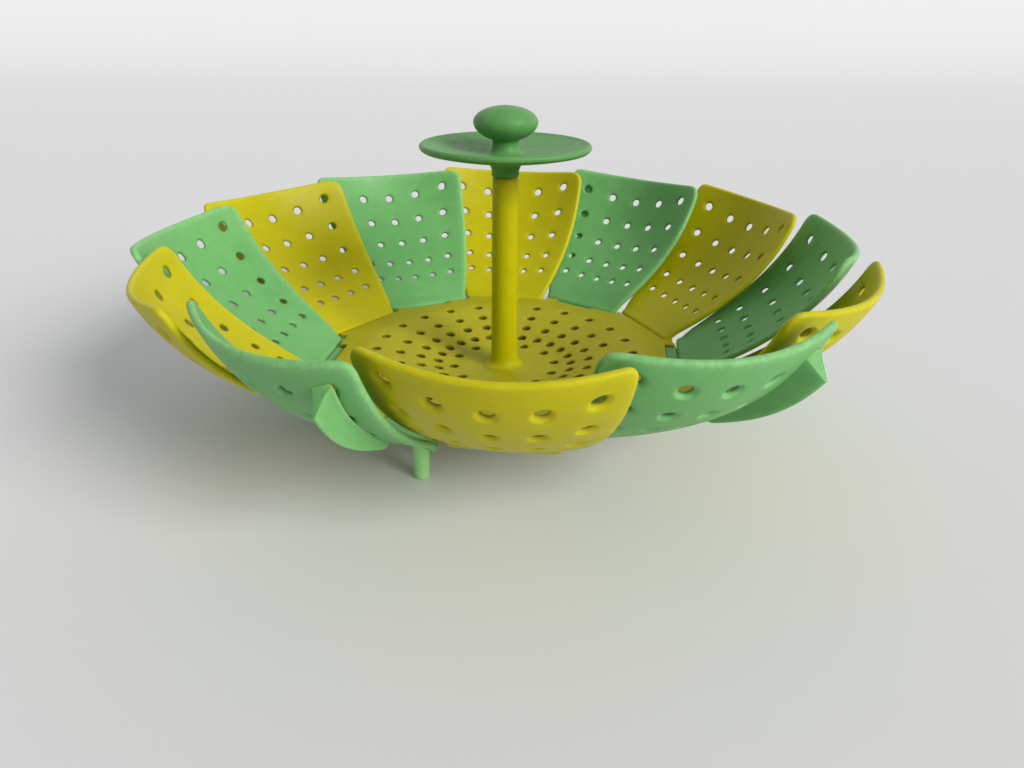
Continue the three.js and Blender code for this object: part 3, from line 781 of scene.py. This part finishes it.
def handle_mesh():
    """One turned moulding: a collar, a saucer dished as a parabola, a neck and a mushroom knob.

    Fillets and the saucer's nose are arcs, and the knob is a half ellipse over a tucked-in curve.
    """
    base = STAND_HEIGHT + POST_LENGTH + SEAT_GAP

    def floor_at(radius):
        """Height of the saucer's floor: a parabola up to its rim."""
        return SAUCER_RIM_HEIGHT - SAUCER_DEPTH * (1 - (radius / SAUCER_RADIUS) ** 2)

    corner, rounding = COLLAR_RADIUS - COLLAR_ROUND, (COLLAR_ROUND, COLLAR_ROUND)
    profile = [(0, COLLAR_START), *arc((corner, COLLAR_START + COLLAR_ROUND), rounding, -90, 0, 4)]
    flare = FLARE_RADIUS - COLLAR_RADIUS, floor_at(FLARE_RADIUS) - SAUCER_WALL - COLLAR_HEIGHT
    profile += arc((FLARE_RADIUS, COLLAR_HEIGHT), flare, 180, 90, 10)
    nose = SAUCER_WALL / 2
    under = np.linspace(SAUCER_START, SAUCER_RADIUS - nose, 14)
    profile += zip(under, floor_at(under) - SAUCER_WALL)
    profile += arc((SAUCER_RADIUS - nose, SAUCER_RIM_HEIGHT - nose), (nose, nose), -75, 90, 8)
    near_neck, near_nose = SAUCER_MARGINS
    over = np.linspace(SAUCER_RADIUS - nose - near_nose, NECK_RADIUS + near_neck, 16)
    profile += zip(over, floor_at(over))
    foot = NECK_RADIUS + NECK_FILLET[0]
    profile += arc((foot, floor_at(foot) + NECK_FILLET[1]), NECK_FILLET, -90, -180, 7)
    profile.append((NECK_RADIUS, KNOB_UNDERSIDE_HEIGHT - NECK_END))
    shares = np.linspace(0.02, 0.98, 14)
    fall = (KNOB_WIDEST_HEIGHT - KNOB_UNDERSIDE_HEIGHT) * np.sqrt(1 - shares**2)
    radii = lerp(NECK_RADIUS, KNOB_RADIUS, shares**KNOB_BULGE)
    profile += zip(radii, KNOB_WIDEST_HEIGHT - fall * (1 - KNOB_TUCK * shares))
    crown = KNOB_HEIGHT - KNOB_WIDEST_HEIGHT
    profile += arc((0, KNOB_WIDEST_HEIGHT), (KNOB_RADIUS, crown), 0, 89, 18)
    profile.append((0, KNOB_HEIGHT))
    return turned_mesh("handle", np.array(profile) + (0, base), 96)


def linear(code):
    """The linear colour of an sRGB hex value."""
    parts = [int(code[i:i + 2], 16) / 255 for i in (1, 3, 5)]
    return [p / 12.92 if p <= 0.04045 else ((p + 0.055) / 1.055) ** 2.4 for p in parts] + [1.0]


def add_node(tree, kind, links, **settings):
    """A shader node of a kind with its settings. Links give its inputs sockets or plain values.

    An input goes by its name, or by its number where names are shared, as 0, 6 and 7 on a mix of
    two colours, whose result is output 2.
    """
    node = tree.nodes.new("ShaderNode" + kind)
    for name, value in settings.items():
        setattr(node, name, value)
    for name, value in links.items():
        if isinstance(value, bpy.types.NodeSocket):
            tree.links.new(value, node.inputs[name])
        else:
            node.inputs[name].default_value = value
    return node


def polypropylene(name, shade, lit, pale, hole_shade_colour, residue, wear_and_highlight_strength):
    """Moulded polypropylene: satin, a little milky, mottled where hands and water have dulled it.

    The mottling shows as soft patches of two near tones, and limescale as dry flecks. The pale
    noses are partly wear and partly a painted highlight, and the dark walls of the holes are
    painted shade. Residue is the share of limescale and scratches, and wear_and_highlight_strength
    the share of paleness on the noses.
    """
    material = bpy.data.materials.new(name)
    material.use_nodes = True
    material.node_tree.nodes.clear()
    add = partial(add_node, material.node_tree)
    place = add("TexCoord", {}).outputs["Object"]

    # Two tones mix over soft patches about 25 mm across, and cloudy ones about 4 mm across.
    patches = add("TexNoise", {"Vector": place, "Scale": 1 / (PATCH_WIDTH * MM), "Detail": 3.0})
    clouds = add("TexNoise", {"Vector": place, "Scale": 1 / (CLOUD_WIDTH * MM), "Detail": 4.0})
    cloud = clouds.outputs["Fac"]
    both = add("Math", {0: patches.outputs["Fac"], 1: cloud}, operation="ADD").outputs[0]
    tone = add("MapRange", {"Value": both, "From Min": 0.65, "From Max": 1.35}).outputs[0]
    body = add("Mix", {0: tone, 6: linear(shade), 7: linear(lit)}, data_type="RGBA").outputs[2]

    # Pale noses, partly wear and partly a painted highlight, are broken up by grain about 1.5 mm
    # across.
    worn = add("Attribute", {}, attribute_name="worn").outputs["Fac"]
    grain = add("TexNoise", {"Vector": place, "Scale": 1 / (GRAIN_WIDTH * MM), "Detail": 3.0})
    broken = add("MapRange", {"Value": grain.outputs["Fac"], "From Min": 0.35, "From Max": 0.75,
                              "To Min": 0.3 * wear_and_highlight_strength, "To Max": wear_and_highlight_strength}).outputs[0]
    pale_share = add("Math", {0: worn, 1: broken}, operation="MULTIPLY").outputs[0]
    edged = add("Mix", {0: pale_share, 6: body, 7: linear(pale)}, data_type="RGBA").outputs[2]

    # Painted shade darkens the walls of the holes and is broken up by the cloudy patches.
    stained = add("Attribute", {}, attribute_name="stained").outputs["Fac"]
    patchy_shade = add("MapRange", {"Value": cloud, "From Min": 0.3, "From Max": 0.7,
                            "To Min": 0.65, "To Max": 0.95}).outputs[0]
    hole_shading = add("Math", {0: stained, 1: patchy_shade}, operation="MULTIPLY").outputs[0]
    holed = add("Mix", {0: hole_shading, 6: edged, 7: linear(hole_shade_colour)}, data_type="RGBA").outputs[2]

    # Fine scratches lie in two directions, each about 0.25 mm wide and up to 12 mm long. Dry
    # flecks of limescale are up to about 1 mm across. Both are pale and rougher than the rest.
    lines = []
    for turn in SCRATCH_TURNS:
        scale = tuple(1 / (size * MM) for size in SCRATCH_SIZE)
        turned = add("Mapping", {"Vector": place, "Rotation": turn, "Scale": scale})
        streaks = add("TexNoise", {"Vector": turned.outputs[0], "Scale": 1.0, "Detail": 1.0})
        lines.append(add("MapRange", {"Value": streaks.outputs["Fac"],
                                      "From Min": 0.74, "From Max": 0.8}).outputs[0])
    scratch = add("Math", {0: lines[0], 1: lines[1]}, operation="MAXIMUM").outputs[0]
    flecks = add("TexNoise", {"Vector": place, "Scale": 1 / (FLECK_WIDTH * MM), "Detail": 6.0,
                              "Roughness": 0.7}).outputs["Fac"]
    dry = add("MapRange", {"Value": flecks, "From Min": 0.66, "From Max": 0.72}).outputs[0]
    marks = add("Math", {0: scratch, 1: dry}, operation="MAXIMUM").outputs[0]
    faint = add("Math", {0: marks, 1: residue}, operation="MULTIPLY").outputs[0]
    marked = add("Mix", {0: faint, 6: holed, 7: linear(pale)}, data_type="RGBA").outputs[2]
    satin = add("MapRange", {"Value": cloud, "From Min": 0.3, "From Max": 0.7,
                             "To Min": 0.36, "To Max": 0.54}).outputs[0]
    rough = add("Math", {0: faint, 1: 0.35, 2: satin}, operation="MULTIPLY_ADD").outputs[0]

    # The mould's spark-eroded skin is about 0.3 mm from peak to peak, with slow sink waves about
    # 9 mm long.
    skin = add("TexNoise", {"Vector": place, "Scale": 1 / (SKIN_PITCH * MM), "Detail": 2.0})
    waves = add("TexNoise", {"Vector": place, "Scale": 1 / (WAVE_LENGTH * MM), "Detail": 1.0})
    sink = add("Bump", {"Height": waves.outputs["Fac"], "Strength": 0.2,
                        "Distance": WAVE_HEIGHT * MM}).outputs[0]
    bump = add("Bump", {"Height": skin.outputs["Fac"], "Strength": 0.35,
                        "Distance": SKIN_HEIGHT * MM, "Normal": sink}).outputs[0]
    shader = add("BsdfPrincipled", {
        "Base Color": marked, "Roughness": rough, "Normal": bump,
        "IOR": 1.49, "Specular IOR Level": 0.2, "Metallic": 0.0,
        "Subsurface Weight": 0.35, "Subsurface Radius": (1.0, 1.0, 0.4),
        "Subsurface Scale": LIGHT_DEPTH * MM,
    })
    add("OutputMaterial", {"Surface": shader.outputs[0]})
    return material


# The third colour of each material is the pale of noses, scratches and limescale, and the fourth is
# painted shade for the walls of holes.
# The lime petals and the post look clear and clean, with little wear and a faint painted
# highlight on their noses.
LIME = polypropylene("lime_polypropylene_moulded", "#b4ab00", "#beb600", "#cfcb30", "#6e6404",
                     residue=0.08, wear_and_highlight_strength=0.35)
# The plate has been rinsed many times, so it looks browner and duller, with more limescale.
DULL_LIME = polypropylene("dull_lime_polypropylene_rinsed", "#a79f0c", "#b2aa18", "#c8c454",
                          "#4e4208", residue=0.16, wear_and_highlight_strength=0.35)
# The green petals, the fins and the ring look milky, with fine scratches and pale noses that are
# partly wear and partly painted highlight.
GREEN = polypropylene("green_polypropylene_moulded", "#66a660", "#72b06a", "#9fd394", "#3c6e3c",
                      residue=0.25, wear_and_highlight_strength=0.5)
# The feet are thin, and their green is painted paler than the others' as painted light, for
# light that falls on them though they stand in the petals' shadow.
PAINTED_LIGHT_GREEN = polypropylene("painted_light_green_polypropylene_moulded", "#9cd68a", "#a6de94", "#c2e8b2",
                           "#6ea060", residue=0.2, wear_and_highlight_strength=0.5)
# The handle is thick and often held, so it looks dark and even.
KNOB = polypropylene("dark_green_polypropylene_moulded", "#568f4e", "#629a56", "#8cc48c",
                     "#3c6e3c", residue=0.12, wear_and_highlight_strength=0.5)


def place_piece(name, mesh, material, body, replaced=()):
    """An object at the origin, its place in its mesh, that rides on a body for its CAD nodes."""
    piece = bpy.data.objects.new(name, mesh)
    bpy.context.collection.objects.link(piece)
    mesh.materials.append(material)
    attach(piece, body)
    if replaced:
        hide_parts(*replaced)
    return piece


def rounded(piece, width):
    """Breaks a piece's sharp edges with a small round of a width."""
    bevel = piece.modifiers.new("edge_round", "BEVEL")
    bevel.width = width * MM
    bevel.segments = 2
    bevel.limit_method = "ANGLE"
    bevel.angle_limit = math.radians(SHARP_ANGLE)


def make_seats():
    """The plate's seats for lime beads, and the shoulders that end its notches, in one profile."""
    end = BEAD_LENGTH / 2 - SEAT_TRIM
    depth = BEAD_RADIUS + SEAT_GAP + SEAT_DEPTH
    profile = seat_profile(-depth, PLATE_RISES[-1] - HINGE_RISE - SEAT_DROP)
    beside_notch = [(-end, -NOTCH_HALF_WIDTH), (NOTCH_HALF_WIDTH, end)]
    rows = ("lime_seats", [(-end, end)], 1), ("notch_shoulders", beside_notch, 0)
    for name, spans, first in rows:
        seats = prism_mesh(name, profile, spans, range(first, PETAL_COUNT, 2))
        rounded(place_piece(name, seats, DULL_LIME, "base"), SEAT_ROUND)


def make_ring():
    """The ring under the plate, and its tabs, which fill the notches and seat the green beads."""
    place_piece("ring", ring_mesh(), GREEN, "base", ["support_ring"])
    top = float(plate_rise(NOTCH_REACH)) - PLATE_THICKNESS - SEAT_GAP
    step = (NOTCH_REACH + SEAT_GAP - HINGE_REACH, top - SEAT_GAP - HINGE_RISE)
    wall_top = PLATE_RISES[-1] - HINGE_RISE - TAB_DROP
    profile = seat_profile(TAB_REACH - HINGE_REACH, wall_top, step)
    end = NOTCH_HALF_WIDTH - SEAT_GAP
    tabs = prism_mesh("ring_tabs", profile, [(-end, end)], range(0, PETAL_COUNT, 2))
    rounded(place_piece("ring_tabs", tabs, GREEN, "base"), SEAT_ROUND)


def make_feet():
    """Feet at even angles round their circle."""
    for i in range(FOOT_COUNT):
        x, y = polar(FOOT_CIRCLE * MM, i * 360 / FOOT_COUNT)
        foot = foot_mesh()
        foot.transform(Matrix.Translation((x, y, 0)))
        number = i + 1
        place_piece(f"foot_pin_{number}", foot, PAINTED_LIGHT_GREEN, "base",
                    [f"foot_{number}"])


def make_petals():
    """Petals at even angles, green and lime in turn, and a fin on each green one.

    Each is tilted to the rest angle, lifted to the hinge, and turned to its place.
    """
    blade, fin = blade_mesh(), fin_mesh()
    lift = Matrix.Translation(Vector((HINGE_REACH, ROOT_OFFSET, HINGE_RISE + STAND_HEIGHT)) * MM)
    lean = Matrix.Rotation(-math.radians(REST_ANGLE), 4, "Y")
    for petal in range(PETAL_COUNT):
        turn = Matrix.Rotation(math.radians(petal * 360 / PETAL_COUNT - HINGE_SKEW), 4, "Z")
        number = petal // 2 + 1
        colour, material = ("green", GREEN) if petal % 2 == 0 else ("lime", LIME)
        body, slot = f"{colour}_leaf_{number}", f"{colour}_plastic"
        mesh = blade.copy()
        mesh.transform(turn @ lift @ lean)
        petal_node = f"{colour}_petal_{number}"
        place_piece(f"{colour}_blade_{number}", mesh, material, body, [petal_node])
        if colour == "green":
            mesh = fin.copy()
            mesh.transform(turn @ lift @ lean)
            fin_node = f"petal_fin_{number}"
            piece = place_piece(f"fin_{number}", mesh, material, body, [fin_node])
            rounded(piece, FIN_ROUND)
    bpy.data.meshes.remove(blade)
    bpy.data.meshes.remove(fin)


def make_camera():
    """The photograph's viewpoint: turned and tilted by angles, and rolled on its line of sight."""
    yaw, pitch, roll = (math.radians(turn) for turn in CAMERA_TURNS)
    flat = math.cos(pitch)
    ahead = Vector((math.sin(yaw) * flat, math.cos(yaw) * flat, -math.sin(pitch)))
    level = Vector((math.cos(yaw), -math.sin(yaw), 0))
    above = level.cross(ahead)
    right = math.cos(roll) * level + math.sin(roll) * above
    up = math.cos(roll) * above - math.sin(roll) * level
    data = bpy.data.cameras.new("camera")
    data.sensor_width = SENSOR_WIDTH
    data.lens = SENSOR_WIDTH * LENS_PIXELS / PHOTO_PIXELS
    data.clip_start = CAMERA_NEAR
    camera = bpy.data.objects.new("camera", data)
    turn = Matrix((right, up, -ahead)).transposed()
    camera.matrix_world = Matrix.Translation(CAMERA_PLACE) @ turn.to_4x4()
    bpy.context.collection.objects.link(camera)
    bpy.context.scene.camera = camera


def make_floor():
    """A pale paper sweep: flat under the colander, and curved up behind it as a quarter circle."""
    bend = arc((FLOOR_BACK, FLOOR_BEND), (FLOOR_BEND, FLOOR_BEND), -90, 0, 24)
    profile = [(FLOOR_FRONT, 0.0), (FLOOR_BACK, 0.0), *bend, (FLOOR_BACK + FLOOR_BEND, FLOOR_TOP)]
    points = [(side * FLOOR_HALF_WIDTH, y, z) for side in SIDES for y, z in profile]
    mesh = bpy.data.meshes.new("floor")
    mesh.from_pydata(points, [], grid_faces(2, len(profile), flip=True).tolist())
    mesh.shade_smooth()
    floor = bpy.data.objects.new("floor", mesh)
    bpy.context.collection.objects.link(floor)
    paper = bpy.data.materials.new("matt_pale_paper")
    paper.use_nodes = True
    shader = paper.node_tree.nodes["Principled BSDF"]
    shader.inputs["Base Color"].default_value = linear("#dedede")
    shader.inputs["Roughness"].default_value = 0.9
    mesh.materials.append(paper)


def make_light():
    """An even pale sky, and a low sun in front on the right, aimed at the colander's middle."""
    world = bpy.data.worlds.new("studio")
    world.use_nodes = True
    sky = world.node_tree.nodes["Background"]
    sky.inputs["Color"].default_value = linear("#e8ecf2")
    sky.inputs["Strength"].default_value = SKY_POWER
    bpy.context.scene.world = world
    data = bpy.data.lights.new("key", "SUN")
    data.energy = SUN_POWER
    data.angle = math.radians(SUN_SPREAD)
    data.color = SUN_COLOUR
    sun = bpy.data.objects.new("key", data)
    sun.location = SUN_PLACE
    sun.rotation_euler = Vector(SUN_PLACE).to_track_quat("Z", "Y").to_euler()
    bpy.context.collection.objects.link(sun)


place_piece("plate", plate_mesh(), DULL_LIME, "base", ["base_plate"])
make_seats()
make_ring()
place_piece("post", post_mesh(), LIME, "base", ["centre_post"])
place_piece("knob_handle", handle_mesh(), KNOB, "base", ["handle"])
make_feet()
make_petals()
make_camera()
make_floor()
make_light()
bpy.context.scene.view_settings.view_transform = "Standard"
